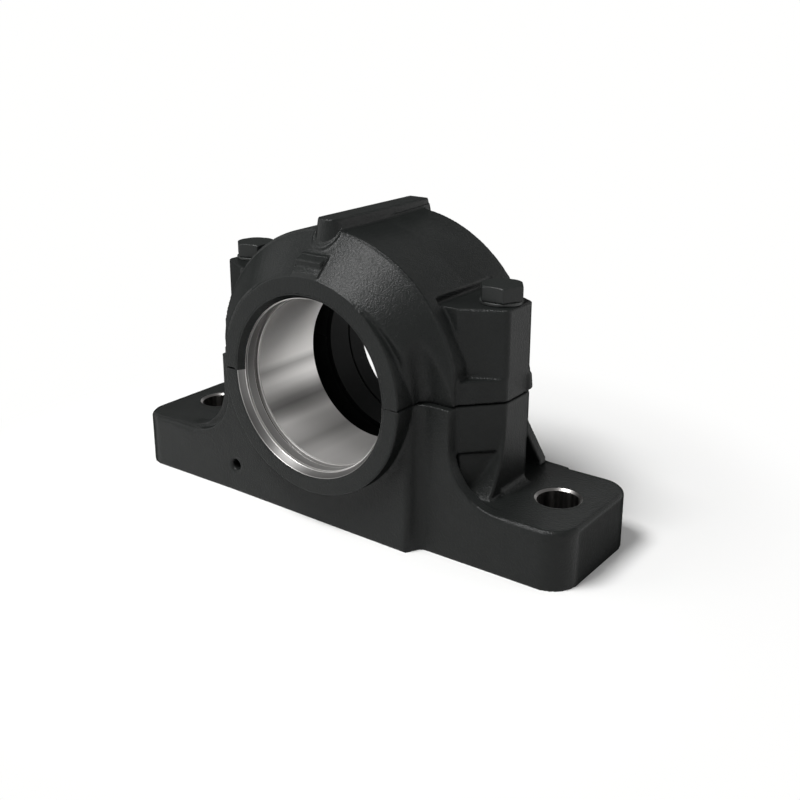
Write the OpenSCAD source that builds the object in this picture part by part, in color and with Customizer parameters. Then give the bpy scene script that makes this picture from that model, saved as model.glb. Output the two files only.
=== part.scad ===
// Split plummer block housing for a rolling bearing, cast iron, two-bolt foot.
// Origin: middle of the base underside. X runs along the foot, the bore runs
// along Y with its open front at -Y, and Z points up. All sizes in millimetres.

/* [Housing] */
// Height of the bore axis over the underside
axis_h = 70; // [69:0.5:74]
// Length of the foot, end to end
foot_len = 252; // [248:1:262]
// Depth of the foot, front to back
foot_w = 65; // [64:0.5:68]
// Thickness of the foot at the attachment holes
foot_t = 27.5; // [25:0.5:29]
// Radius of the four foot corners seen from above
foot_corner_r = 13; // [9:0.5:16]
// Chamfer on the top edge of the foot
foot_edge_c = 1.6; // [0.8:0.1:2.4]
// Depth of the whole housing over both bore rings
ring_depth = 94; // [92:0.5:98]
// Outer radius of the flat ring round the bore
ring_r = 51.5; // [50.5:0.25:52.5]
// Radius of the crown, the cylinder over the bearing
crown_r = 70; // [69:0.5:72]
// Depth of the crown between its two edges
crown_w = 64; // [62:0.5:66]
// How far the crown sits behind the bolt line
crown_shift = 3; // [1.5:0.25:3.5]
// Height of the small step along the crown edge
crown_step = 0.8; // [0.4:0.1:1.2]
// Half width of the straight sides under the crown
side_x = 68; // [67:0.25:69]

/* [Front and rear pads] */
// How far the pads stand proud of the foot
pad_proud = 5; // [4:0.25:6]
// Half width of a pad at its outer corner
pad_half = 52; // [51.5:0.25:53]
// Half width of the front pad on the left, where the foot is flush with it
pad_left = 60.5; // [59:0.25:61]
// Rounding on the outer corner of a pad
pad_edge_r = 3; // [2:0.25:3.5]
// Hollow radius where a pad runs back into the foot
pad_root_r = 6; // [5:0.25:7]
// Forward lean of the pads on the cap, in degrees
pad_lean = 11; // [8:0.5:12]
// Radius of the hollow sweep from the side down to the foot
web_sweep_r = 25; // [20:0.5:27]
// Thickness of the front and rear webs
web_t = 6; // [5:0.25:7]

/* [Bolt columns] */
// Distance between the two cap bolts
bolt_pitch = 146; // [144:0.5:148]
// Distance over the outer faces of the two columns
column_span = 166; // [165:0.5:170]
// Width of a column at its outer face
column_w = 20; // [18:0.5:21]
// Depth of the column where it leaves the crown
column_root_w = 42; // [39:0.5:44]
// Distance from the middle to where a column starts to narrow
column_root_x = 64; // [62:0.5:66]
// Rounding on the upright corners of a column
column_corner_r = 3.5; // [2:0.25:4]
// Height of the machined face the cap bolt sits on
column_top = 112; // [110:0.5:114]
// Chamfer round the machined face
column_edge_c = 1; // [0.5:0.1:1.5]
// Distance from the middle to the step cut into the crown
seat_cut_x = 53; // [51:0.25:55]
// Height of the joint blocks above the split
block_up = 11; // [9:0.5:14]
// Height of the joint blocks below the split
block_down = 22; // [18:0.5:24]
// Set back of the pocket wall under the joint block
pocket_back = 2.5; // [1.5:0.25:3.5]
// Radius of the hollow that spreads the front of a column towards the foot
column_sweep_r = 60; // [54:1:66]
// Height where the front of a column starts to spread
column_sweep_z = 64; // [62:0.5:66]
// Radius of the hollow under the outer face of a column
column_toe_r = 4; // [3:0.5:5]
// Radius of the small cast bump at the back corner of a column
bump_r = 4; // [3:0.25:4.5]

/* [Bore] */
// Diameter of the machined bearing seat
seat_d = 80; // [79:0.5:81]
// Distance from the front ring face to the seat
seat_start = 12; // [11:0.25:14]
// Length of the bearing seat
seat_len = 39.5; // [37:0.5:41]
// Radius of the opening at the front ring face
mouth_r = 43; // [42.5:0.1:44]
// Length of the chamfered land behind the front face
land_len = 3.5; // [2.5:0.1:4.5]
// Width of the retaining groove in front of the seat
groove_w = 2; // [1.5:0.1:2.4]
// Depth of the retaining groove
groove_depth = 2; // [1.5:0.1:2.4]
// Radius of the cored chamber behind the seat
chamber_r = 56; // [52:0.5:57]
// Length of the cored chamber
chamber_len = 15.5; // [13:0.5:18]
// Radius of the rear opening
rear_r = 41.5; // [41:0.1:42.5]

/* [Top rib and lug] */
// Height of the top rib over the crown
rib_up = 5; // [4.4:0.2:6]
// Width of the flat on the top rib
rib_top_w = 11.5; // [10:0.5:13]
// Length of the top rib along its flat
rib_len = 75; // [72:0.5:77]
// Rounding of the four rib corners
rib_corner_r = 5.25; // [3:0.25:5.25]
// Draft of the rib sides, millimetres out per millimetre down
rib_draft = 0.16; // [0.1:0.02:0.24]
// Width of the lug over the front ring
lug_w = 15; // [13:0.5:17]
// Height of the lug face over the ring
lug_up = 6.6; // [5.6:0.2:7.6]

/* [Joint and screws] */
// Diameter of the cap bolt shank
bolt_d = 12; // [11.5:0.1:12.2]
// Length of the cap bolt under its head
bolt_len = 70; // [64:1:74]
// Hexagon of the bolt head, flat to flat
hex_af = 18; // [17:0.5:19]
// Height of the bolt head
hex_h = 7; // [6.5:0.1:8]
// Outside diameter of the small washer
washer_d = 19.5; // [19:0.5:20]
// Thickness of the washer
washer_t = 1.5; // [1:0.1:2.5]
// Gap round the bolt in the cap, per side
cap_hole_gap = 0.75; // [0.5:0.05:1]
// Gap round the bolt inside the washer, per side
washer_gap = 0.5; // [0.4:0.05:0.6]
// Gap round the plain drawn thread in the base, per side
thread_gap = 0.35; // [0.3:0.01:0.5]
// Depth of the threaded hole below the bolt tip
thread_spare = 4; // [2:0.5:6]
// Diameter of the two guide pins
pin_d = 6; // [5.5:0.5:6.5]
// Length of a guide pin
pin_len = 20; // [16:1:24]
// Gap round the guide pin in the cap, per side
pin_gap = 0.05; // [0.04:0.01:0.08]
// Distance between the two guide pins
pin_pitch = 113; // [110:0.5:116]
// Distance of the guide pins in front of the bolt line
pin_front = 14; // [12:0.5:16]
// Height of the outer groove left along the split
split_gap = 0.6; // [0.4:0.05:0.8]
// Depth of the outer groove left along the split
split_in = 1.3; // [1:0.1:1.6]

/* [Attachment and threads] */
// Distance from an attachment hole to the end of the foot
hole_end = 21; // [19:0.5:23]
// Diameter of the attachment holes
hole_d = 19; // [17.5:0.5:20]
// Chamfer at the mouth of the attachment holes
hole_c = 1.5; // [1.25:0.05:2]
// Distance of the small threaded hole from the middle
tap_x = 57; // [55:0.5:60]
// Height of the small threaded hole
tap_z = 14.2; // [12:0.2:17]
// Diameter of the small threaded hole
tap_d = 5; // [4.5:0.1:5.5]
// Depth of the small threaded hole
tap_depth = 14; // [10:0.5:18]
// Depth of the relief in the underside
relief_h = 4; // [3:0.5:5]
// Length of the relief
relief_len = 150; // [140:1:156]
// Rim left standing in front of and behind the relief
relief_rim = 12.5; // [11:0.5:14]
// Rounding of the relief corners
relief_corner_r = 7; // [5:0.5:9]

/* [View] */
// Piece to draw, or all of them

/* [Hidden] */
$fn = 96;
foot_h = foot_len / 2;
foot_y = foot_w / 2;
ring_y = ring_depth / 2;
crown_front = crown_w / 2 - crown_shift;
crown_rear = crown_w / 2 + crown_shift;
pad_y = foot_y + pad_proud;
web_in = foot_y - web_t;
hole_x = foot_h - hole_end;
bolt_x = bolt_pitch / 2;
col_x = column_span / 2;
col_y = column_w / 2;
root_y = column_root_w / 2;
seat_r = seat_d / 2;
seat_y0 = -ring_y + seat_start;
seat_y1 = seat_y0 + seat_len;
chamber_y1 = seat_y1 + chamber_len;
pin_x = pin_pitch / 2;
head_z = column_top + washer_t;
bolt_tip = head_z - bolt_len;
ring_top = axis_h + ring_r;
iron = "#2b2d2e";
steel = "#8f9294";

// A round bar along Y from y0 to y1, centred on the bore axis
module bar_y(r, y0, y1) {
  translate([0, y0, axis_h])
    rotate([-90, 0, 0])
      cylinder(r = r, h = y1 - y0);
}

// A taper along Y from radius ra at y0 to radius rb at y1
module taper_y(ra, rb, y0, y1) {
  translate([0, y0, axis_h])
    rotate([-90, 0, 0])
      cylinder(r1 = ra, r2 = rb, h = y1 - y0);
}

// A plate in the XZ plane, from y0 to y1, drawn from a flat outline
module plate_y(y0, y1) {
  translate([0, y1, 0])
    rotate([90, 0, 0])
      linear_extrude(height = y1 - y0)
        children();
}

// The same thing on the right and, mirrored, on the left
module both_sides() {
  children();
  mirror([1, 0, 0])
    children();
}

// Right half of the foot seen from above, its front at -yf
module foot_half(yf) {
  r = foot_corner_r;
  translate([-1, -yf])
    square([foot_h - r + 1, yf + foot_y]);
  translate([-1, -yf + r])
    square([foot_h + 1, yf + foot_y - 2 * r]);
  translate([foot_h - r, -yf + r])
    circle(r = r);
  translate([foot_h - r, foot_y - r])
    circle(r = r);
}

// Right half of a front pad: round outer corner, then a hollow into the foot
module pad_half_plan(half) {
  reach = pad_edge_r + pad_root_r;
  dx = sqrt(reach * reach - pow(reach - pad_proud, 2));
  ax = half - pad_edge_r;
  translate([-1, -pad_y])
    square([ax + 1, pad_proud + 1]);
  translate([ax, -pad_y + pad_edge_r])
    circle(r = pad_edge_r);
  difference() {
    polygon([[ax - 1, -foot_y + 1], [ax - 1, -pad_y + pad_edge_r], [ax, -pad_y + pad_edge_r], [ax + dx, -foot_y - pad_root_r], [ax + dx, -foot_y + 1]]);
    translate([ax + dx, -foot_y - pad_root_r])
      circle(r = pad_root_r);
  }
}

// Whole front pad, wider on the left where the foot is flush with it
module front_pad_plan() {
  pad_half_plan(pad_half);
  mirror([1, 0])
    pad_half_plan(pad_left);
}

// Whole rear pad, the same on both sides
module rear_pad_plan() {
  mirror([0, 1]) {
    pad_half_plan(pad_half);
    mirror([1, 0])
      pad_half_plan(pad_half);
  }
}

// The same pad corner in short straight steps, for the leaning pads of the cap.
// The cap's body lies at -back, and its root hollow is never tighter than the base's.
function pad_corner(half, back) =
  let (
    proud = pad_y - back,
    root = max(pad_root_r, proud - pad_edge_r + 0.5),
    reach = pad_edge_r + root,
    th = acos((reach - proud) / reach),
    ax = half - pad_edge_r,
    dx = reach * sin(th)
  )
  concat(
    [for (k = [0:4]) [ax + pad_edge_r * sin(th * k / 4), -pad_y + pad_edge_r - pad_edge_r * cos(th * k / 4)]],
    [for (k = [3:-1:0]) [ax + dx - root * sin(th * k / 4), -back - root + root * cos(th * k / 4)]]
  );

// Outline of a leaning pad, from its left corner to its right one
module lean_pad_plan(left, right, back) {
  rp = pad_corner(right, back);
  lp = [for (q = pad_corner(left, back)) [-q[0], q[1]]];
  polygon(concat(rp, [[rp[8][0], -back + 2], [lp[8][0], -back + 2]], [for (k = [8:-1:0]) lp[k]]));
}

// Hollow sweep in the XZ plane, from an upright edge at x down to the foot
module sweep_xz(x, r) {
  difference() {
    translate([x - 2, foot_t - 2])
      square([r + 2, r + 2]);
    translate([x + r, foot_t + r])
      circle(r = r);
  }
}

// Web seen from the front: straight sides that sweep out into the foot
module web_outline() {
  translate([-side_x, 1])
    square([2 * side_x, axis_h - 1]);
  sweep_xz(side_x, web_sweep_r);
  mirror([1, 0])
    sweep_xz(side_x, web_sweep_r);
}

// Trapezoid with two round outer corners, from x0 out to the column face
module nose_plan(x0, y0, yc) {
  r = column_corner_r;
  th = atan2(y0 - yc, col_x - x0);
  t = r / tan((90 + th) / 2);
  translate([x0 / 2, -y0])
    square([x0 / 2, 2 * y0]);
  polygon([[x0 - 1, -y0], [x0, -y0], [col_x - t * cos(th), -yc - t * sin(th)], [col_x, -yc + t], [col_x, yc - t], [col_x - t * cos(th), yc + t * sin(th)], [x0, y0], [x0 - 1, y0]]);
  for (s = [-1, 1])
    translate([col_x - r, s * (yc - t)])
      circle(r = r);
}

// Wedge knife along a straight top edge from one point to another
module edge_knife(xa, ya, xb, yb, z, c) {
  len = norm([xb - xa, yb - ya]);
  translate([xa, ya, z])
    rotate([0, 0, atan2(yb - ya, xb - xa)])
      rotate([90, 0, 90])
        linear_extrude(height = len)
          polygon([[-1, -c - 1], [c + 1, 1], [-1, 1]]);
}

// Everything turned out of the two halves together
module bore_cut() {
  // chamfered front land
  taper_y(mouth_r + 0.57, mouth_r - 0.57 * land_len, -ring_y - 1, -ring_y + land_len);
  // thin step behind the land
  bar_y(seat_r + 1.8, -ring_y + land_len - 0.1, -ring_y + land_len + 0.8);
  // plain land up to the groove
  bar_y(seat_r + 0.6, -ring_y, seat_y0 - groove_w);
  // retaining groove
  bar_y(seat_r + groove_depth, seat_y0 - groove_w - 1, seat_y0 - 1);
  // short lead-in to the seat
  taper_y(seat_r + 0.4, seat_r, seat_y0 - 1.1, seat_y0);
  // bearing seat
  bar_y(seat_r, seat_y0 - 1, seat_y1 + 1);
  // cored chamber
  bar_y(chamber_r, seat_y1, chamber_y1);
  // rear opening with its groove and chamfer
  bar_y(rear_r, chamber_y1 - 1, ring_y + 1);
  bar_y(rear_r + 1, ring_y - 12.6, ring_y - 11.4);
  taper_y(rear_r - 0.2, rear_r + 1.2, ring_y - 1.2, ring_y + 0.2);
}

// Chamfer knives along the top of one half of the foot, its front at -yf
module foot_edge_knives(yf, x_front) {
  c = foot_edge_c;
  r = foot_corner_r;
  x_rear = side_x + web_sweep_r;
  // end face
  edge_knife(foot_h, -yf + r, foot_h, foot_y - r, foot_t, c);
  // rear and front edges, beyond the sweeps
  edge_knife(foot_h - r, foot_y, x_rear, foot_y, foot_t, c);
  edge_knife(x_front, -yf, foot_h - r, -yf, foot_t, c);
  // round corners
  for (k = [[-yf + r, -90], [foot_y - r, 0]])
    translate([foot_h - r, k[0], foot_t])
      rotate([0, 0, k[1]])
        rotate_extrude(angle = 90)
          polygon([[r - c - 1, 1], [r + 1, -c - 1], [r + 1, 1]]);
}

// Hollows where a column meets the foot
module column_roots() {
  // the front spreads slowly towards the foot
  r = column_sweep_r;
  drop = column_sweep_z - foot_t + 2;
  spread = r - sqrt(r * r - drop * drop);
  translate([side_x - 8, 0, 0])
    rotate([90, 0, 90])
      linear_extrude(height = col_x - side_x + 8)
        difference() {
          translate([-col_y - spread, foot_t - 2])
            square([spread + col_y, drop]);
          translate([-col_y - r, column_sweep_z])
            circle(r = r);
        }
  // small hollow under the outer face
  plate_y(-col_y - 3, col_y - 2)
    sweep_xz(col_x, column_toe_r);
}

// Relief seen from below, with round corners
module relief_plan() {
  r = relief_corner_r;
  w = foot_w - 2 * relief_rim;
  square([relief_len, w - 2 * r], center = true);
  square([relief_len - 2 * r, w], center = true);
  for (sx = [-1, 1])
    for (sy = [-1, 1])
      translate([sx * (relief_len / 2 - r), sy * (w / 2 - r)])
        circle(r = r);
}

// Lower half, one iron casting
module base() {
  color(iron)
    difference() {
      union() {
        // foot, its left half flush with the front pad
        linear_extrude(height = foot_t) {
          foot_half(foot_y);
          mirror([1, 0])
            foot_half(pad_y);
        }
        // pads in front and behind
        linear_extrude(height = axis_h) {
          front_pad_plan();
          rear_pad_plan();
        }
        // flush sweep on the left front
        plate_y(-pad_y, -foot_y + 1)
          mirror([1, 0])
            sweep_xz(pad_left, web_sweep_r);
        // front and rear webs with their sweeps
        plate_y(-foot_y, -web_in)
          web_outline();
        plate_y(web_in, foot_y)
          web_outline();
        // body between the webs
        translate([-side_x + 6, -web_in - 1, 1])
          cube([2 * side_x - 12, 2 * web_in + 2, axis_h - 1]);
        // both flat rings round the bore
        bar_y(ring_r, -ring_y, ring_y);
        both_sides() {
          // joint block and, set back below it, the pocket wall
          translate([0, 0, axis_h - block_down])
            linear_extrude(height = block_down)
              nose_plan(side_x, web_in, col_y);
          translate([0, 0, 1])
            linear_extrude(height = axis_h - 2)
              nose_plan(side_x, web_in - pocket_back, col_y - 0.8);
          column_roots();
        }
      }
      // nothing of the lower half stands above the split
      translate([-foot_h, -ring_y - 1, axis_h])
        cube([foot_len, ring_depth + 2, ring_r + 5]);
      bore_cut();
      foot_edge_knives(foot_y, side_x + web_sweep_r);
      mirror([1, 0, 0])
        foot_edge_knives(pad_y, pad_left + web_sweep_r);
      for (s = [-1, 1]) {
        // attachment hole with its bright chamfer
        translate([s * hole_x, 0, -1])
          cylinder(d = hole_d, h = foot_t + 2);
        translate([s * hole_x, 0, foot_t - hole_c])
          cylinder(r1 = hole_d / 2, r2 = hole_d / 2 + hole_c + 0.1, h = hole_c + 0.1);
        // threaded hole for the cap bolt, thread drawn plain
        translate([s * bolt_x, 0, bolt_tip - thread_spare])
          cylinder(d = bolt_d + 2 * thread_gap, h = axis_h);
        // guide pin hole
        translate([s * pin_x, -pin_front, axis_h - pin_len / 2])
          cylinder(d = pin_d, h = pin_len);
      }
      // small threaded hole in the front with its countersink
      translate([-tap_x, -pad_y - 1, tap_z])
        rotate([-90, 0, 0])
          cylinder(d = tap_d, h = tap_depth + 1);
      translate([-tap_x, -pad_y - 1, tap_z])
        rotate([-90, 0, 0])
          cylinder(r1 = tap_d / 2 + 1.9, r2 = tap_d / 2 - 0.2, h = 2.1);
      // relief in the underside
      translate([0, 0, -1])
        linear_extrude(height = relief_h + 1)
          relief_plan();
    }
}

// Contact face of the split seen from above, set in from the outline
module split_face() {
  i = split_in;
  square([2 * (side_x - i), 2 * (foot_y - i)], center = true);
  square([2 * (pad_half - i), 2 * (pad_y - i)], center = true);
  square([2 * (ring_r - i), 2 * (ring_y - i)], center = true);
  for (s = [0, 1])
    mirror([s, 0])
      polygon([[side_x / 2, -web_in + i], [side_x - i, -web_in + i], [col_x - i, -col_y + i], [col_x - i, col_y - i], [side_x - i, web_in - i], [side_x / 2, web_in - i]]);
}

// Knife for the cap beside the front ring: everything in front of a pad outline.
// It leans about the foot of the pad face, so the pad runs on from the base.
module pad_knife(left, right, back) {
  translate([0, -pad_y, axis_h])
    rotate([pad_lean, 0, 0])
      translate([0, pad_y, -4])
        linear_extrude(height = 66)
          difference() {
            translate([-col_x - 5, -ring_y - 30])
              square([2 * col_x + 10, ring_y + 30 - back]);
            lean_pad_plan(left, right, back);
          }
}

// Cast rib along the crown, drafted, with round corners
module top_rib() {
  top_z = axis_h + crown_r + rib_up;
  h = 14;
  d = rib_draft * h;
  w = rib_top_w / 2;
  l = rib_len / 2;
  r = min(rib_corner_r, w - 0.25);
  translate([0, crown_shift, 0]) {
    // long sides, then the two ends
    plate_y(-l + r, l - r)
      polygon([[-w - d, top_z - h], [w + d, top_z - h], [w, top_z], [-w, top_z]]);
    translate([-w + r, 0, 0])
      rotate([90, 0, 90])
        linear_extrude(height = 2 * w - 2 * r)
          polygon([[-l - d, top_z - h], [l + d, top_z - h], [l, top_z], [-l, top_z]]);
    for (sx = [-1, 1])
      for (sy = [-1, 1])
        translate([sx * (w - r), sy * (l - r), top_z - h])
          cylinder(r1 = r + d, r2 = r, h = h);
  }
}

// Small square lug standing on the front ring
module front_lug() {
  translate([-lug_w / 2, 0, 0])
    rotate([90, 0, 90])
      linear_extrude(height = lug_w)
        polygon([[-ring_y + 0.6, ring_top - 3], [-ring_y + 0.6, ring_top + lug_up], [-ring_y + 6.5, ring_top + lug_up + 2.2], [-crown_front - 1, ring_top + lug_up + 2.2], [-crown_front - 1, ring_top - 3]]);
}

// Upper half, one iron casting
module cap() {
  color(iron)
    difference() {
      union() {
        difference() {
          intersection() {
            union() {
              // crown and its two sloped shoulders
              bar_y(crown_r, -crown_front, crown_rear);
              taper_y(ring_r - 0.4, crown_r - crown_step, -ring_y, -crown_front + 0.01);
              taper_y(crown_r - crown_step, ring_r - 0.4, crown_rear - 0.01, ring_y);
            }
            // straight sides
            translate([-side_x, -ring_y - 1, axis_h])
              cube([2 * side_x, ring_depth + 2, crown_r + 5]);
          }
          // the shoulders step back beside the rings
          pad_knife(pad_left, pad_half, crown_front + 0.15);
          mirror([0, 1, 0])
            pad_knife(pad_half, pad_half, foot_y);
        }
        // flat rings round the bore
        intersection() {
          bar_y(ring_r, -ring_y, ring_y);
          translate([-ring_r - 1, -ring_y - 1, axis_h])
            cube([2 * ring_r + 2, ring_depth + 2, ring_r + 2]);
        }
        both_sides() {
          // column under the cap bolt
          translate([0, 0, axis_h])
            linear_extrude(height = column_top - axis_h)
              nose_plan(column_root_x, root_y, col_y);
          // joint block
          translate([0, 0, axis_h])
            linear_extrude(height = block_up)
              nose_plan(side_x, web_in, col_y);
          // small cast bump at the back corner
          translate([col_x - bump_r + 1.4, col_y - 1, axis_h + 1.5])
            cylinder(r1 = bump_r, r2 = bump_r - 0.6, h = 7);
        }
        top_rib();
        front_lug();
      }
      bore_cut();
      both_sides() {
        // machined face under the cap bolt, cut into the crown
        translate([seat_cut_x, -root_y - 1, column_top])
          cube([col_x - seat_cut_x + 5, 2 * root_y + 2, 20]);
        edge_knife(col_x, -col_y - 1, col_x, col_y + 1, column_top, column_edge_c);
        edge_knife(column_root_x, -root_y, col_x, -col_y, column_top, column_edge_c);
        edge_knife(col_x, col_y, column_root_x, root_y, column_top, column_edge_c);
        // bolt hole
        translate([bolt_x, 0, axis_h - 1])
          cylinder(d = bolt_d + 2 * cap_hole_gap, h = column_top - axis_h + 2);
        // guide pin hole
        translate([pin_x, -pin_front, axis_h - 1])
          cylinder(d = pin_d + 2 * pin_gap, h = pin_len / 2 + 2.5);
      }
      // outer groove along the split
      translate([0, 0, axis_h - 1])
        linear_extrude(height = split_gap + 1)
          difference() {
            square([foot_len, ring_depth + 10], center = true);
            split_face();
          }
    }
}

// Hexagon cap bolt, thread drawn plain
module cap_bolt(turn) {
  color(steel) {
    intersection() {
      translate([0, 0, head_z])
        rotate([0, 0, turn])
          cylinder(r = hex_af / sqrt(3), h = hex_h, $fn = 6);
      translate([0, 0, head_z - 0.1])
        cylinder(r1 = hex_af / 2 + 1.9 * (hex_h + 0.1), r2 = hex_af / 2, h = hex_h + 0.1);
    }
    translate([0, 0, bolt_tip + 1.5])
      cylinder(d = bolt_d, h = bolt_len - 1.4);
    translate([0, 0, bolt_tip])
      cylinder(r1 = bolt_d / 2 - 1.3, r2 = bolt_d / 2, h = 1.5);
  }
}

// Small plain washer under the bolt head
module washer() {
  color(steel)
    translate([0, 0, column_top])
      difference() {
        cylinder(d = washer_d, h = washer_t);
        translate([0, 0, -1])
          cylinder(d = bolt_d + 2 * washer_gap, h = washer_t + 2);
      }
}

// Hardened pin that lines the cap up with the base
module guide_pin() {
  color(steel)
    translate([0, 0, axis_h - pin_len / 2]) {
      cylinder(r1 = pin_d / 2 - 0.6, r2 = pin_d / 2, h = 0.8);
      translate([0, 0, 0.8])
        cylinder(d = pin_d, h = pin_len - 1.6);
      translate([0, 0, pin_len - 0.8])
        cylinder(r1 = pin_d / 2, r2 = pin_d / 2 - 0.6, h = 0.8);
    }
}

module cap_bolt_right() {
  translate([bolt_x, 0, 0])
    cap_bolt(4);
}

module cap_bolt_left() {
  translate([-bolt_x, 0, 0])
    cap_bolt(17);
}

module washer_right() {
  translate([bolt_x, 0, 0])
    washer();
}

module washer_left() {
  translate([-bolt_x, 0, 0])
    washer();
}

module guide_pin_right() {
  translate([pin_x, -pin_front, 0])
    guide_pin();
}

module guide_pin_left() {
  translate([-pin_x, -pin_front, 0])
    guide_pin();
}

base();
cap();
cap_bolt_right();
cap_bolt_left();
washer_right();
washer_left();
guide_pin_right();
guide_pin_left();
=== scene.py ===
import math

import bmesh
import bpy
import numpy as np
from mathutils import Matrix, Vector
from mathutils.kdtree import KDTree


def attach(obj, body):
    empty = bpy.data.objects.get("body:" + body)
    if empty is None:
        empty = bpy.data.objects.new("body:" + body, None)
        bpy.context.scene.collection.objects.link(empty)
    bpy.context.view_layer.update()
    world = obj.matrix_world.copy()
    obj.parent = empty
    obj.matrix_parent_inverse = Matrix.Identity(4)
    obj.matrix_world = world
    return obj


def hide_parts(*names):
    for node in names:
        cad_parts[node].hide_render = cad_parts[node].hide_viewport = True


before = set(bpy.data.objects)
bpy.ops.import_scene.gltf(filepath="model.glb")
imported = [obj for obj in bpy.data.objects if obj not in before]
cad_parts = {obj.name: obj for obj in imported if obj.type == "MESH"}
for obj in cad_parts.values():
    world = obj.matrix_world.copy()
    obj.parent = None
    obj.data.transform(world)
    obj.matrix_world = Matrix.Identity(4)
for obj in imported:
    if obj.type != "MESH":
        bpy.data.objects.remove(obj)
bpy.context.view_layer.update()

# Lower casting
# The base is one grey iron casting, sand cast with soft edges and painted
# black all over. Its underside, split, bore and foot holes are machined.
mm = 0.001
bore_height = 70 * mm
hole_reach = 105 * mm
ring_face = 47 * mm
foot_top = 27.5 * mm


def points_of(mesh):
    flat = np.empty(len(mesh.vertices) * 3)
    mesh.vertices.foreach_get("co", flat)
    return flat.reshape(-1, 3)


def with_modifier(piece, kind, settings):
    """Gives the piece the mesh that one modifier makes of it."""
    step = piece.modifiers.new(kind.lower(), kind)
    for key, value in settings.items():
        setattr(step, key, value)
    made = bpy.data.meshes.new_from_object(
        piece.evaluated_get(bpy.context.evaluated_depsgraph_get()))
    piece.modifiers.clear()
    piece.data = made


def worn_round(points, ends, passes, give):
    """Moves each point towards the mean of its neighbours, pass by pass."""
    count = len(points)
    degree = np.bincount(ends.ravel(), minlength=count)[:, None]
    for _ in range(passes):
        total = np.column_stack([
            np.bincount(ends[:, 0], points[ends[:, 1], k], count)
            + np.bincount(ends[:, 1], points[ends[:, 0], k], count) for k in range(3)])
        points = points + give * (total / degree - points)
    return points


# how far a point gives way in one pass, and the passes that wear a wide hollow
full_give = 0.5
hollow_passes = 24
# a facet this large and this level keeps its own normal, where the one at
# its corner leans further away from it
flat_area = 0.8 * mm ** 2
level_within = math.cos(math.radians(6))
leaning_past = math.cos(math.radians(10))


def soft_edged(name, node, body, grid, passes, most, softness=None, hollows=None, settle=()):
    """A CAD node as a cast or forged piece, every edge rounded as the real one's."""
    piece = bpy.data.objects.new(name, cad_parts[node].data.copy())
    bpy.context.scene.collection.objects.link(piece)
    with_modifier(piece, "REMESH", {"mode": "VOXEL", "voxel_size": grid, "adaptivity": 0.0})
    ends = np.empty(len(piece.data.edges) * 2, dtype=np.int64)
    piece.data.edges.foreach_get("vertices", ends)
    ends, points = ends.reshape(-1, 2), points_of(piece.data)
    if hollows:
        points = worn_round(points, ends, hollow_passes, full_give * hollows(points)[:, None])
    give = full_give * softness(points)[:, None] if softness else full_give
    points = worn_round(points, ends, passes, give)
    for step in settle:
        points = step(points)
    piece.data.vertices.foreach_set("co", points.ravel())
    piece.data.update()
    # thinned out, the piece keeps the fine mesh's normals, each facet those
    # just inside its corners or, where it is flat, its own, so that every
    # rounded edge catches a clear line
    fine = KDTree(len(points))
    for index, point in enumerate(points):
        fine.insert(point, index)
    fine.balance()
    facing = np.array([v.normal for v in piece.data.vertices])
    triangles = 2 * len(piece.data.polygons)
    if triangles > most:
        with_modifier(piece, "DECIMATE", {"ratio": most / triangles})
    mesh = piece.data
    mesh.materials.clear()
    mesh.shade_smooth()
    sides = [face.loop_total for face in mesh.polygons]
    facets = np.repeat([(*face.center, *face.normal, face.area) for face in mesh.polygons], sides, axis=0)
    corners = points_of(mesh)[[loop.vertex_index for loop in mesh.loops]]
    inward = facets[:, :3] - corners
    span = np.maximum(np.linalg.norm(inward, axis=1), 0.01 * mm)[:, None]
    inside = corners + inward * np.minimum(0.4, 1.0 * mm / span)
    normals = facing[[fine.find(spot)[1] for spot in inside]]
    middle = np.repeat(facing[[fine.find(face.center)[1] for face in mesh.polygons]], sides, axis=0)
    level = (middle * facets[:, 3:6]).sum(axis=1) > level_within
    apart = (normals * facets[:, 3:6]).sum(axis=1) < leaning_past
    flat = level & apart & (facets[:, 6] > flat_area)
    normals[flat] = facets[flat, 3:6]
    mesh.normals_split_custom_set(normals.tolist())
    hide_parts(node)
    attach(piece, body)
    return piece


def machined_edges(points):
    """Low beside the underside, the split and the ring faces, which stay crisp."""
    y, z = points[:, 1], points[:, 2]
    underside = np.clip((z - 0.3 * mm) / (1.6 * mm), 0.1, 1.0)
    split = np.clip((abs(z - bore_height) - 0.4 * mm) / (1.6 * mm), 0.15, 1.0)
    rings = np.clip((ring_face - abs(y)) / (1.5 * mm), 0.3, 1.0)
    return np.minimum(np.minimum(underside, split), rings)


def base_hollows(points):
    """The wide hollow round the front ring, and the soft ends of the sweeps."""
    x, y, z = points.T
    r = np.hypot(x, z - bore_height)
    ring_r, root_r = 51.7 * mm, 57 * mm
    inner = np.clip((r - ring_r) / (0.8 * mm), 0, 1) * np.clip((root_r - r) / (3 * mm), 0, 1)
    ring = inner * np.clip((-36.8 * mm - y) / (0.5 * mm), 0, 1) * np.clip((66 * mm - z) / (4 * mm), 0, 1)
    sweep_end, sweep_z, part_way = 90 * mm, 28.5 * mm, 0.8
    along = np.clip((12 * mm - abs(abs(x) - sweep_end)) / (5 * mm), 0, 1)
    height = np.clip((6 * mm - abs(z - sweep_z)) / (3 * mm), 0, 1)
    return np.maximum(ring, part_way * along * height * np.clip((-27 * mm - y) / (3 * mm), 0, 1))


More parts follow.
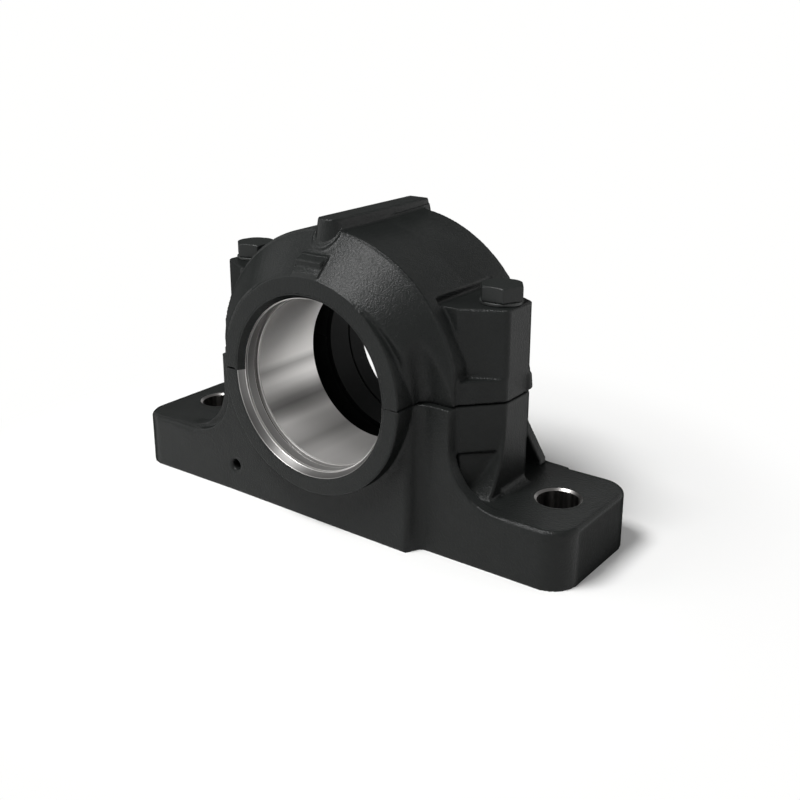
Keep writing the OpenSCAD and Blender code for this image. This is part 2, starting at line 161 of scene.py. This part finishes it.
def drafted_front(points):
    """The front of the base leans out towards its lower right, as it was cast."""
    x, y, z = points.T
    lean, pad_front = 2.6 * mm, 37.5 * mm
    out = lean * (1 - z / bore_height) * np.clip((x + 60 * mm) / (112 * mm), 0, 1)
    share = np.where(y > -pad_front, (-32.6 * mm - y) / (4.9 * mm), (ring_face + y) / (9.5 * mm))
    return np.column_stack([x, y - out * np.clip(share, 0, 1), z])


# the radii to which the castings are drawn back, and the ends of the chamber
bore_clear_r = 43.7 * mm
hole_clear_r = 11.4 * mm
chamber_front = 4.45 * mm
chamber_rear = 20.1 * mm


def opened_bore(points):
    """Draws the casting back from the bore, where the turned lining stands."""
    x, y, z = points[:, 0], points[:, 1], points[:, 2] - bore_height
    r = np.hypot(x, z)
    near = (r < bore_clear_r) & ((y < chamber_front) | (y > chamber_rear))
    grow = np.where(near, bore_clear_r / np.maximum(r, 1 * mm), 1.0)
    # an angle is kept, so that the halves still part on their level split
    return np.column_stack([x * grow, y, z * grow + bore_height])


def opened_foot_holes(points):
    """Draws the casting back from the two foot holes, which have linings too."""
    x, y = points[:, 0], points[:, 1]
    middle = np.sign(x) * hole_reach
    r = np.hypot(x - middle, y)
    grow = np.where(r < hole_clear_r, hole_clear_r / np.maximum(r, 1 * mm), 1.0)
    return np.column_stack([middle + (x - middle) * grow, y * grow, points[:, 2]])


def straight_fins(points):
    """The rear fins run down to the foot on a straight slant."""
    x, y, z = abs(points[:, 0]), points[:, 1], points[:, 2]
    sweep_top, sweep_r, sweep_x = 52.5 * mm, 25 * mm, 93 * mm
    fin_root, fin_inner, fin_toe, fin_lean = 64 * mm, 68 * mm, 81.8 * mm, 0.612
    drop = np.clip(sweep_top - z, 0, sweep_r)
    sweep = sweep_x - np.sqrt(sweep_r ** 2 - drop ** 2)
    slant = np.maximum(fin_toe - fin_lean * (z - foot_top), fin_inner)
    fin = (y > 25.5 * mm) & (z > 27.8 * mm) & (z < sweep_top) & (x > fin_root) & (x < sweep + 0.8 * mm)
    share = np.clip((x - fin_root) / (sweep - fin_root), 0, 1.1)
    moved = np.where(fin, x + (slant - sweep) * share, x)
    toe = (y > 25 * mm) & (x > 82.6 * mm) & (x < 95 * mm) & (z > 27.4 * mm) & (z < 29.6 * mm)
    return np.column_stack([moved * np.sign(points[:, 0]), y, np.where(toe, foot_top, z)])


class Shade:
    """One socket of a node tree, with arithmetic that adds Math nodes."""

    def __init__(self, tree, socket=None):
        self.tree = tree
        self.socket = socket

    def node(self, kind, settings=None, sockets=None, out=0):
        made = self.tree.nodes.new(kind)
        for key, value in (settings or {}).items():
            if key == "stops":
                ramp = made.color_ramp
                ramp.elements[0].position, ramp.elements[0].color = value[0]
                ramp.elements[1].position, ramp.elements[1].color = value[1]
                for place, colour in value[2:]:
                    ramp.elements.new(place).color = colour
            else:
                setattr(made, key, value)
        for key, value in (sockets or {}).items():
            if isinstance(value, Shade):
                self.tree.links.new(value.socket, made.inputs[key])
            else:
                made.inputs[key].default_value = value
        return Shade(self.tree, made.outputs[out] if made.outputs else None)

    def also(self, out):
        """Another output of the node that this socket belongs to."""
        return Shade(self.tree, self.socket.node.outputs[out])

    def math(self, operation, a, b=0.0):
        return self.node("ShaderNodeMath", {"operation": operation}, {0: a, 1: b})

    def __add__(self, other):
        return self.math("ADD", self, other)

    def __sub__(self, other):
        return self.math("SUBTRACT", self, other)

    def __rsub__(self, other):
        return self.math("SUBTRACT", other, self)

    def __mul__(self, other):
        return self.math("MULTIPLY", self, other)

    __radd__ = __add__
    __rmul__ = __mul__

    def above(self, limit):
        return self.math("GREATER_THAN", self, limit)


def new_material(name):
    material = bpy.data.materials.new(name)
    material.use_nodes = True
    material.node_tree.nodes.clear()
    return material, Shade(material.node_tree)


def close_material(shade, surface):
    shade.node("ShaderNodeOutputMaterial", sockets={"Surface": surface})


def colour_mix(shade, mask, dark, light):
    return shade.node(
        "ShaderNodeMix", {"data_type": "RGBA"},
        {0: mask, 6: dark, 7: light}, out=2)


def grey(level, warm=0.0):
    return (level * (1 + warm), level, level * (1 - warm), 1)


# the black paint: its two shades, how high its grain stands, how it shines
paint_dark = (0.0100, 0.0111, 0.0107, 1)
paint_light = (0.0158, 0.0173, 0.0167, 1)
paint_relief = 0.8
grain_depth = 0.3 * mm
paint_shine = 0.18


def cast_paint(shade, place):
    """Colour and grain of the black paint over the sand-cast skin."""
    grain = shade.node("ShaderNodeTexNoise", sockets={
        "Vector": place, "Scale": 1400.0, "Detail": 2.0, "Roughness": 0.6})
    swell = shade.node("ShaderNodeTexNoise", sockets={
        "Vector": place, "Scale": 95.0, "Detail": 2.0, "Roughness": 0.5})
    return colour_mix(shade, swell, paint_dark, paint_light), grain


def paint_roughness(grain):
    return grain * 0.14 + 0.25


def paint_bump(shade, height):
    return shade.node("ShaderNodeBump", sockets={
        "Strength": paint_relief, "Distance": grain_depth, "Height": height})


def satin(shade, colour, roughness, bump, level, bare=0.0, polish=1.0):
    """A shine that coarse grain hides where it is seen at a shallow angle."""
    shiny = shade.node("ShaderNodeBsdfPrincipled", sockets={
        "Base Color": colour, "Metallic": bare * polish, "Roughness": roughness,
        "Specular IOR Level": level, "Normal": bump})
    dull = shade.node("ShaderNodeBsdfPrincipled", sockets={
        "Base Color": colour, "Roughness": 0.9, "Specular IOR Level": 0.0, "Normal": bump})
    shallow_from, shallow_to, hidden = 0.45, 0.7, 0.9
    facing = shade.node("ShaderNodeLayerWeight", sockets={"Blend": 0.5}, out=1)
    shallow = shade.node("ShaderNodeMapRange", {"interpolation_type": "SMOOTHSTEP"},
                         {0: facing, 1: shallow_from, 2: shallow_to, 3: 0.0, 4: hidden})
    return shade.node("ShaderNodeMixShader", sockets={
        0: shallow * (1 - bare), 1: shiny, 2: dull})


# the rear of the bore: the black paint in a darker colour, painted shade deep inside the bore, its tone
# varying at random
material, shade = new_material("rear_bore_painted_shade")
rear_place = shade.node("ShaderNodeTexCoord", out=3)
rear_rings = shade.node("ShaderNodeTexNoise", sockets={
    "Vector": rear_place, "Scale": 420.0, "Detail": 2.0, "Roughness": 0.5})
rear_painted_shade_colour = colour_mix(shade, rear_rings, (0.0055, 0.006, 0.006, 1), (0.011, 0.012, 0.012, 1))
rear_bump = shade.node("ShaderNodeBump", sockets={
    "Strength": 0.3, "Distance": 0.2 * mm, "Height": rear_rings})
close_material(shade, satin(shade, rear_painted_shade_colour, rear_rings * 0.2 + 0.4, rear_bump, 0.06))
rear_bore_painted_shade = material

material, shade = new_material("painted_casting")
paint, grain = cast_paint(shade, shade.node("ShaderNodeTexCoord", out=3))
close_material(shade, satin(
    shade, paint, paint_roughness(grain), paint_bump(shade, grain), paint_shine))
painted_casting = material


def around(shade, across, up, turns):
    """Soft bands that run along a bored wall, spaced round its axis."""
    angle = shade.math("ARCTAN2", up, across)
    spread = shade.node("ShaderNodeCombineXYZ", sockets={0: angle * turns, 1: 0.0, 2: 0.0})
    return shade.node("ShaderNodeTexNoise", sockets={
        "Vector": spread, "Scale": 1.0, "Detail": 1.5, "Roughness": 0.45})


# bare metal ends at this radius on the ring face; the lands end at this depth
face_r = 43.02 * mm
land_end = -35.1 * mm
seat_front = 35 * mm
seat_polish = 0.7


def turned_bore(name, painted_to):
    """Bare turned iron, painted as far as painted_to and on the ring face."""
    material, shade = new_material(name)
    place = shade.node("ShaderNodeTexCoord", out=3)
    x = shade.node("ShaderNodeSeparateXYZ", sockets={0: place})
    y, up = x.also(1), x.also(2) - bore_height
    bore_r = shade.math("SQRT", x * x + up * up)
    bare = y.above(painted_to) * (1 - bore_r.above(face_r))

    # the seat: painted reflections, soft light and dark bands along the axis spaced round it, under fine
    # tool lines round it
    turn = shade.math("ARCTAN2", up, x) * (0.5 / math.pi) + around(shade, x, up, 5.0) * 0.03 + 0.485
    seat_painted_reflections = shade.node("ShaderNodeValToRGB", {"stops": [
        (0.0, grey(0.92, 0.02)), (1.0, grey(0.92, 0.02)), (0.02, grey(0.50, 0.02)),
        (0.045, grey(0.88, 0.02)), (0.09, grey(0.26, 0.02)), (0.13, grey(0.96, 0.02)),
        (0.18, grey(0.46, 0.02)), (0.22, grey(0.72, 0.02)), (0.36, grey(0.46, 0.02)),
        (0.86, grey(0.78, 0.02)), (0.95, grey(0.98, 0.02))]}, {0: turn})
    lines = shade.node("ShaderNodeTexNoise", sockets={
        "Vector": shade.node("ShaderNodeCombineXYZ", sockets={0: 0.0, 1: y * 1000.0, 2: 0.0}),
        "Scale": 3.0, "Detail": 2.0, "Roughness": 0.5})
    # the lands in front of it: grey and darker on the mouth chamfer, a painted highlight as a bright line at
    # each turned edge, and painted shade darkening the recessed step and groove
    depth = shade.node("ShaderNodeMapRange", sockets={0: y, 1: -ring_face, 2: -seat_front, 3: 0.0, 4: 1.0})
    lands_painted_light = shade.node("ShaderNodeValToRGB", {"stops": [
        (0.01, grey(0.50, 0.02)), (1.0, grey(0.46, 0.02)), (0.03, grey(0.13, 0.02)),
        (0.26, grey(0.19, 0.02)), (0.28, grey(0.85, 0.02)), (0.30, grey(0.10, 0.02)),
        (0.345, grey(0.10, 0.02)), (0.36, grey(0.85, 0.02)), (0.385, grey(0.30, 0.02)),
        (0.72, grey(0.34, 0.02)), (0.745, grey(0.9, 0.02)), (0.76, grey(0.08, 0.02)),
        (0.905, grey(0.08, 0.02)), (0.925, grey(0.95, 0.02)), (0.965, grey(0.44, 0.02))]}, {0: depth})
    # the bare metal colour carries the lands' painted highlights and shade, and the seat's painted
    # reflections
    metal_painted_light = colour_mix(shade, y.above(land_end), lands_painted_light, seat_painted_reflections)

    paint, grain = cast_paint(shade, place)
    roughness = bare * (lines * 0.1 + 0.3) + (1 - bare) * paint_roughness(grain)
    bump = paint_bump(shade, grain * (1 - bare) + lines * bare * 0.02)
    close_material(shade, satin(
        shade, colour_mix(shade, bare, paint, metal_painted_light), roughness, bump, paint_shine, bare, seat_polish))
    return material


def turned(name, outline, turn, spot, body):
    """A turned ring from a closed outline of (depth, radius), half or whole."""
    steps, count = 96, len(outline)
    whole = abs(turn) > 6
    rows = steps if whole else steps + 1
    points = [spot(depth * mm, r * mm, turn * k / steps) for k in range(rows) for depth, r in outline]
    faces = []
    for k in range(steps):
        for j in range(count):
            a, b = k * count + j, k * count + (j + 1) % count
            faces.append([q % len(points) for q in (a, b, b + count, a + count)])
    if not whole:
        faces += [range(count), range(steps * count, rows * count)]
    mesh = bpy.data.meshes.new(name)
    mesh.from_pydata(points, [], [tuple(face) for face in faces])
    bm = bmesh.new()
    bm.from_mesh(mesh)
    bmesh.ops.recalc_face_normals(bm, faces=bm.faces)
    bm.to_mesh(mesh)
    bm.free()
    mesh.shade_smooth()
    mesh.set_sharp_from_angle(angle=math.radians(20))
    piece = bpy.data.objects.new(name, mesh)
    bpy.context.scene.collection.objects.link(piece)
    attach(piece, body)
    return piece


def in_bore(depth, r, angle):
    return r * math.cos(angle), depth, bore_height + r * math.sin(angle)


# the turned front of the bore: chamfered land, step, groove, lead-in and seat
seat_r, land_r, step_r, groove_r, mouth_r = 40.0, 40.6, 41.8, 42.0, 43.0
lining_r, lining_end = 44.4, 46.98
front_outline = [
    (-lining_end, mouth_r), (-43.5, 41.0), (-43.5, step_r), (-42.7, step_r), (-42.7, land_r),
    (-38.0, land_r), (-38.0, groove_r), (-36.0, groove_r), (-36.0, 40.4), (-35.0, seat_r),
    (4.2, seat_r), (4.55, 40.35), (4.55, lining_r), (-lining_end, lining_r)]
# the rear opening with its shallow groove and chamfer, left painted
opening_r, rear_groove_r, chamber_end = 41.5, 42.5, 19.95
rear_outline = [
    (chamber_end, opening_r), (34.4, opening_r), (34.4, rear_groove_r), (35.6, rear_groove_r),
    (35.6, opening_r), (45.9, opening_r), (lining_end, 42.6), (lining_end, lining_r),
    (chamber_end, lining_r)]

casting_triangles = 185000
base = soft_edged(
    "base_casting", "base", "lower_half", grid=0.62 * mm, passes=2, most=casting_triangles,
    softness=machined_edges, hollows=base_hollows,
    settle=(drafted_front, opened_bore, opened_foot_holes, straight_fins))
base.data.materials.append(painted_casting)
base_bore = turned_bore("base_bore_finish", -47.2 * mm)
for part, outline, finish in (("front", front_outline, base_bore),
                              ("rear", rear_outline, rear_bore_painted_shade)):
    lining = turned("base_bore_" + part, outline, -math.pi, in_bore, "lower_half")
    lining.data.materials.append(finish)

# each foot hole: a bored wall, streaked along its axis, under a grey chamfer
material, shade = new_material("foot_hole_finish")
hole_place = shade.node("ShaderNodeTexCoord", out=3)
along = shade.node("ShaderNodeSeparateXYZ", sockets={0: hole_place})
out_x, side_y = shade.math("ABSOLUTE", along) - hole_reach, along.also(1)
hole_r = shade.math("SQRT", out_x * out_x + side_y * side_y)
streaks = shade.node("ShaderNodeValToRGB", {"stops": [
    (0.36, grey(0.05, 0.03)), (0.66, grey(0.38, 0.03)), (0.5, grey(0.14, 0.03))]},
    {0: around(shade, out_x, side_y, 2.4)})
chamfer_from, painted_from = 26.45 * mm, 10.62 * mm
chamfer = along.also(2).above(chamfer_from)
hole_metal = colour_mix(shade, chamfer, streaks, grey(0.26, 0.03))
hole_bare = 1 - hole_r.above(painted_from)
paint, grain = cast_paint(shade, hole_place)
close_material(shade, satin(
    shade, colour_mix(shade, hole_bare, paint, hole_metal), grain * 0.1 + 0.3,
    paint_bump(shade, grain * (1 - hole_bare)), paint_shine, hole_bare))
wall_r, chamfer_r, outer_r, lining_foot, lining_top = 9.5, 10.6, 11.8, 0.02, 27.48
hole_outline = [
    (lining_foot, wall_r), (26.5, wall_r), (lining_top, chamfer_r),
    (lining_top, outer_r), (lining_foot, outer_r)]
for side, middle in (("right", hole_reach), ("left", -hole_reach)):
    hole = turned("foot_hole_" + side, hole_outline, 2 * math.pi,
                  lambda depth, r, angle: (middle + r * math.cos(angle), r * math.sin(angle), depth),
                  "lower_half")
    hole.data.materials.append(material)

# Guide pins
# Two ground steel pins pressed into the base. They line the cap up and are
# seen only when it is lifted off.
material, shade = new_material("ground_pin")
pin_place = shade.node("ShaderNodeTexCoord", out=3)
pin_grind = shade.node("ShaderNodeTexNoise", sockets={
    "Vector": pin_place, "Scale": 2200.0, "Detail": 2.0})
close_material(shade, shade.node("ShaderNodeBsdfPrincipled", sockets={
    "Base Color": (0.6, 0.6, 0.6, 1), "Metallic": 1.0,
    "Roughness": pin_grind * 0.15 + 0.18}))
for side in ("right", "left"):
    pin = soft_edged(
        "pin_" + side, "guide_pin_" + side, "lower_half",
        grid=0.2 * mm, passes=2, most=8000)
    pin.data.materials.append(material)

# Upper casting
# The cap is a second casting of the same iron and paint. It sits on the
# machined split, and the land at its mouth is dark, coloured like the black paint.


def cap_edges(points):
    """Lower still on the rib, the lug, the crown's front edge and the bolt faces."""
    x, y, z = abs(points[:, 0]), points[:, 1], points[:, 2]
    r = np.hypot(x, z - bore_height)
    rib = (x < 8 * mm) & (r > 70.6 * mm)
    lug = (x < 8.4 * mm) & (z > 119 * mm) & (y < -33 * mm)
    lip = (abs(y + 29 * mm) < 1.5 * mm) & (r > 67.5 * mm)
    face = (abs(z - 112 * mm) < 1.6 * mm) & (x > 54 * mm)
    crisp = 0.45
    return np.where(rib | lug | lip | face, crisp, 1.0) * machined_edges(points)


def cap_hollows(points):
    """The wide hollows where the front pads run into the sloped shoulder."""
    x, y, z = abs(points[:, 0]), points[:, 1], points[:, 2]
    side = np.clip((x - 46 * mm) / (4 * mm), 0, 1) * np.clip((67 * mm - x) / (2 * mm), 0, 1)
    height = np.clip((z - 72 * mm) / (4 * mm), 0, 1) * np.clip((112 * mm - z) / (8 * mm), 0, 1)
    clear = np.clip((np.hypot(x, z - bore_height) - 52 * mm) / (2 * mm), 0, 1)
    part_way = 0.8
    return part_way * side * height * clear * np.clip((-29.5 * mm - y) / (2 * mm), 0, 1)


def full_crown(points):
    """The crown swells a little towards its rear edge."""
    x, y, z = points.T
    up = z - bore_height
    r = np.hypot(x, up)
    band = np.clip((y - 2 * mm) / (30 * mm), 0, 1) * np.clip((r - 66 * mm) / (3 * mm), 0, 1)
    swell, crown_r, crown_side = 1.1 * mm, 71.5 * mm, 66 * mm
    grow = 1 + swell * band * (r < crown_r) / np.maximum(r, 1 * mm)
    return np.column_stack([x * np.where(abs(x) < crown_side, grow, 1), y, up * grow + bore_height])


def tight_split(points):
    """On the front pad at the right the split is closed to a hairline."""
    x, y, z = points.T
    left_open = 0.12
    groove = (x > 30 * mm) & (y < -33.6 * mm) & (z > 70.1 * mm) & (z < 71 * mm)
    return np.column_stack([x, y, np.where(groove, bore_height + left_open * (z - bore_height), z)])


def set_back_lug(points):
    """The lug over the front ring stands a little behind the ring's face."""
    x, y, z = points.T
    lug_back, shoulder_reach = 1.0 * mm, 99.1 * mm
    over = np.hypot(x, z - bore_height) - shoulder_reach - y
    lug = np.clip(over / (1.5 * mm), 0, 1) * (abs(x) < 9 * mm) * (y < -36 * mm) * (z > 118 * mm)
    return np.column_stack([x, y + lug_back * lug * (z < 132 * mm), z])


def trimmed_rib(points):
    """The rib's rear end is nearly square in plan, its nose stands back a little."""
    x, y, z = points.T
    r = np.hypot(x, z - bore_height)
    shoulder = 69.6 * mm - np.maximum(y - 35 * mm, 0) * 1.51
    corner_x, corner_y, squarer, nose_back = 0.5 * mm, 35.25 * mm, 0.75, 1.9 * mm
    across, behind = abs(x) - corner_x, y - corner_y
    corner = (across > 0) & (behind > 0) & (z > 130 * mm) & (r > shoulder)
    reach = np.hypot(across, behind) / np.maximum(np.maximum(across, behind), 0.1 * mm)
    grow = np.where(corner, 1 + squarer * (reach - 1), 1.0)
    wide = np.where(corner, np.sign(x) * (corner_x + across * grow), x)
    skin = 69.9 * mm - np.maximum(-29 * mm - y, 0)
    nose = np.clip((r - skin - 0.5 * mm) / (1.5 * mm), 0, 1) * np.clip((11 * mm - abs(x)) / (3 * mm), 0, 1)
    back = nose_back * np.clip((-18 * mm - y) / (12 * mm), 0, 1) * nose * (z > 122 * mm)
    return np.column_stack([wide, np.where(corner, corner_y + behind * grow, y) + back, z])


cap = soft_edged(
    "cap_casting", "cap", "upper_half", grid=0.58 * mm, passes=2, most=casting_triangles,
    softness=cap_edges, hollows=cap_hollows,
    settle=(full_crown, opened_bore, tight_split, set_back_lug, trimmed_rib))
cap.data.materials.append(painted_casting)
cap_bore = turned_bore("cap_bore_finish", -43.6 * mm)
for part, outline, finish in (("front", front_outline, cap_bore),
                              ("rear", rear_outline, rear_bore_painted_shade)):
    lining = turned("cap_bore_" + part, outline, math.pi, in_bore, "upper_half")
    lining.data.materials.append(finish)

# Cap bolts and washers
# Two black hexagon bolts hold the cap down, each on a thin plain washer
# that rides with it.
material, shade = new_material("black_oxide")
bolt_place = shade.node("ShaderNodeTexCoord", out=3)
bolt_grain = shade.node("ShaderNodeTexNoise", sockets={
    "Vector": bolt_place, "Scale": 900.0, "Detail": 3.0})
bolt_bump = shade.node("ShaderNodeBump", sockets={
    "Strength": 0.2, "Distance": 0.2 * mm, "Height": bolt_grain})
bolt_colour = colour_mix(shade, bolt_grain, (0.011, 0.0125, 0.012, 1), (0.019, 0.021, 0.020, 1))
close_material(shade, satin(shade, bolt_colour, bolt_grain * 0.14 + 0.32, bolt_bump, 0.3))
bolt_finish = material

material, shade = new_material("dark_washer")
washer_place = shade.node("ShaderNodeTexCoord", out=3)
washer_grain = shade.node("ShaderNodeTexNoise", sockets={
    "Vector": washer_place, "Scale": 1200.0, "Detail": 2.0})
washer_bump = shade.node("ShaderNodeBump", sockets={
    "Strength": 0.15, "Distance": 0.2 * mm, "Height": washer_grain})
washer_colour = colour_mix(shade, washer_grain, (0.02, 0.022, 0.021, 1), (0.036, 0.038, 0.037, 1))
close_material(shade, satin(shade, washer_colour, washer_grain * 0.15 + 0.3, washer_bump, 0.4))
washer_finish = material

for side in ("right", "left"):
    bolt = soft_edged(
        "hex_bolt_" + side, "cap_bolt_" + side, "bolt_" + side,
        grid=0.3 * mm, passes=3, most=50000)
    bolt.data.materials.append(bolt_finish)
    washer = soft_edged(
        "flat_washer_" + side, "washer_" + side, "bolt_" + side,
        grid=0.22 * mm, passes=2, most=12000)
    washer.data.materials.append(washer_finish)

# Floor
# A plain pale studio floor that keeps the soft shadow under the feet.
floor_mesh = bpy.data.meshes.new("studio_floor")
reach = 6.0
floor_mesh.from_pydata(
    [(-reach, -reach, 0), (reach, -reach, 0), (reach, reach, 0), (-reach, reach, 0)],
    [], [(0, 1, 2, 3)])
floor = bpy.data.objects.new("studio_floor", floor_mesh)
floor.location.z = -0.02 * mm
bpy.context.scene.collection.objects.link(floor)
material, shade = new_material("pale_floor")
matt = shade.node("ShaderNodeBsdfDiffuse", sockets={"Color": (0.86, 0.86, 0.855, 1)})
light_path = shade.node("ShaderNodeLightPath", out=0)
direct = shade.math("MAXIMUM", light_path, light_path.also("Is Glossy Ray"))
floor_glow, fades_from, fades_to = 0.08, 0.135, 0.24
glow = shade.node("ShaderNodeEmission", sockets={"Color": (1, 1, 0.995, 1), "Strength": direct * floor_glow})
lit = shade.node("ShaderNodeAddShader", sockets={0: matt, 1: glow})
under = shade.node("ShaderNodeBsdfDiffuse", sockets={"Color": (0.4, 0.4, 0.4, 1)})
# far from the part, the floor runs into the white background
floor_place = shade.node("ShaderNodeTexCoord", out=3)
span = shade.node("ShaderNodeVectorMath", {"operation": "LENGTH"}, {0: floor_place}, out=1)
far = shade.node("ShaderNodeMapRange", {"interpolation_type": "SMOOTHSTEP"},
                 {0: span, 1: fades_from, 2: fades_to, 3: 0.0, 4: 1.0})
white = shade.node("ShaderNodeEmission", sockets={"Color": (1, 1, 0.995, 1), "Strength": direct})
near = shade.node("ShaderNodeMixShader", sockets={0: direct, 1: under, 2: lit})
close_material(shade, shade.node("ShaderNodeMixShader", sockets={0: far * direct, 1: near, 2: white}))
floor.data.materials.append(material)

# Studio light
# A bright soft box high in front, a weaker one low on the left, and one
# behind on the right that picks out the end faces.
world = bpy.data.worlds.new("studio")
bpy.context.scene.world = world
world.use_nodes = True
world.node_tree.nodes.clear()
shade = Shade(world.node_tree)
camera_ray = shade.node("ShaderNodeLightPath", out=0)
# reflections show the white backdrop up to where the darker ceiling begins
ambient, ceiling_from, ceiling_to = 0.22, 0.14, 0.45
ray = shade.node("ShaderNodeSeparateXYZ", sockets={0: shade.node("ShaderNodeTexCoord", out=0)})
backdrop = shade.node("ShaderNodeMapRange", {"interpolation_type": "SMOOTHSTEP"},
                      {0: ray.also(2), 1: ceiling_from, 2: ceiling_to, 3: 1.0, 4: 0.0})
seen = shade.math("MAXIMUM", camera_ray, camera_ray.also("Is Transmission Ray"))
seen = shade.math("MAXIMUM", seen, camera_ray.also("Is Glossy Ray") * backdrop)
shade.node("ShaderNodeOutputWorld", sockets={
    "Surface": shade.node("ShaderNodeBackground", sockets={
        "Color": (1, 1, 0.995, 1), "Strength": seen * (1 - ambient) + ambient})})


def soft_box(name, place, target, width, height, watts):
    data = bpy.data.lights.new(name, "AREA")
    data.shape = "RECTANGLE"
    data.size, data.size_y, data.energy = width, height, watts
    lamp = bpy.data.objects.new(name, data)
    lamp.location = place
    aim = Vector(target) - Vector(place)
    lamp.rotation_euler = aim.to_track_quat("-Z", "Y").to_euler()
    bpy.context.scene.collection.objects.link(lamp)


soft_box("high_front", (-0.14, -0.46, 0.95), (0, 0, 0.08), 0.4, 0.32, 11.0)
soft_box("left_front", (-0.66, -0.62, 0.52), (0, 0, 0.05), 0.5, 0.5, 1.5)
soft_box("back_right", (0.9, 0.42, 0.42), (0, 0, 0.05), 0.5, 0.5, 0.9)

# Camera
# Placed where the photograph was taken from, fitted to the foot and bore.
eye = Vector((0.30924, -0.39398, 0.23645))
look_at = Vector((0.01803, 0.0, 0.07953))
lens_data = bpy.data.cameras.new("photo_view")
picture_px, focal_px, drop_px, sensor = 800, 1089.15, 50, 36.0
lens_data.sensor_width = sensor
lens_data.lens = focal_px / picture_px * sensor
lens_data.shift_y = -drop_px / picture_px
lens_data.clip_start = 0.01
photo_view = bpy.data.objects.new("photo_view", lens_data)
photo_view.location = eye
photo_view.rotation_euler = (look_at - eye).to_track_quat("-Z", "Y").to_euler()
bpy.context.scene.collection.objects.link(photo_view)
bpy.context.scene.camera = photo_view
bpy.context.scene.view_settings.view_transform = "Standard"

bpy.context.view_layer.update()
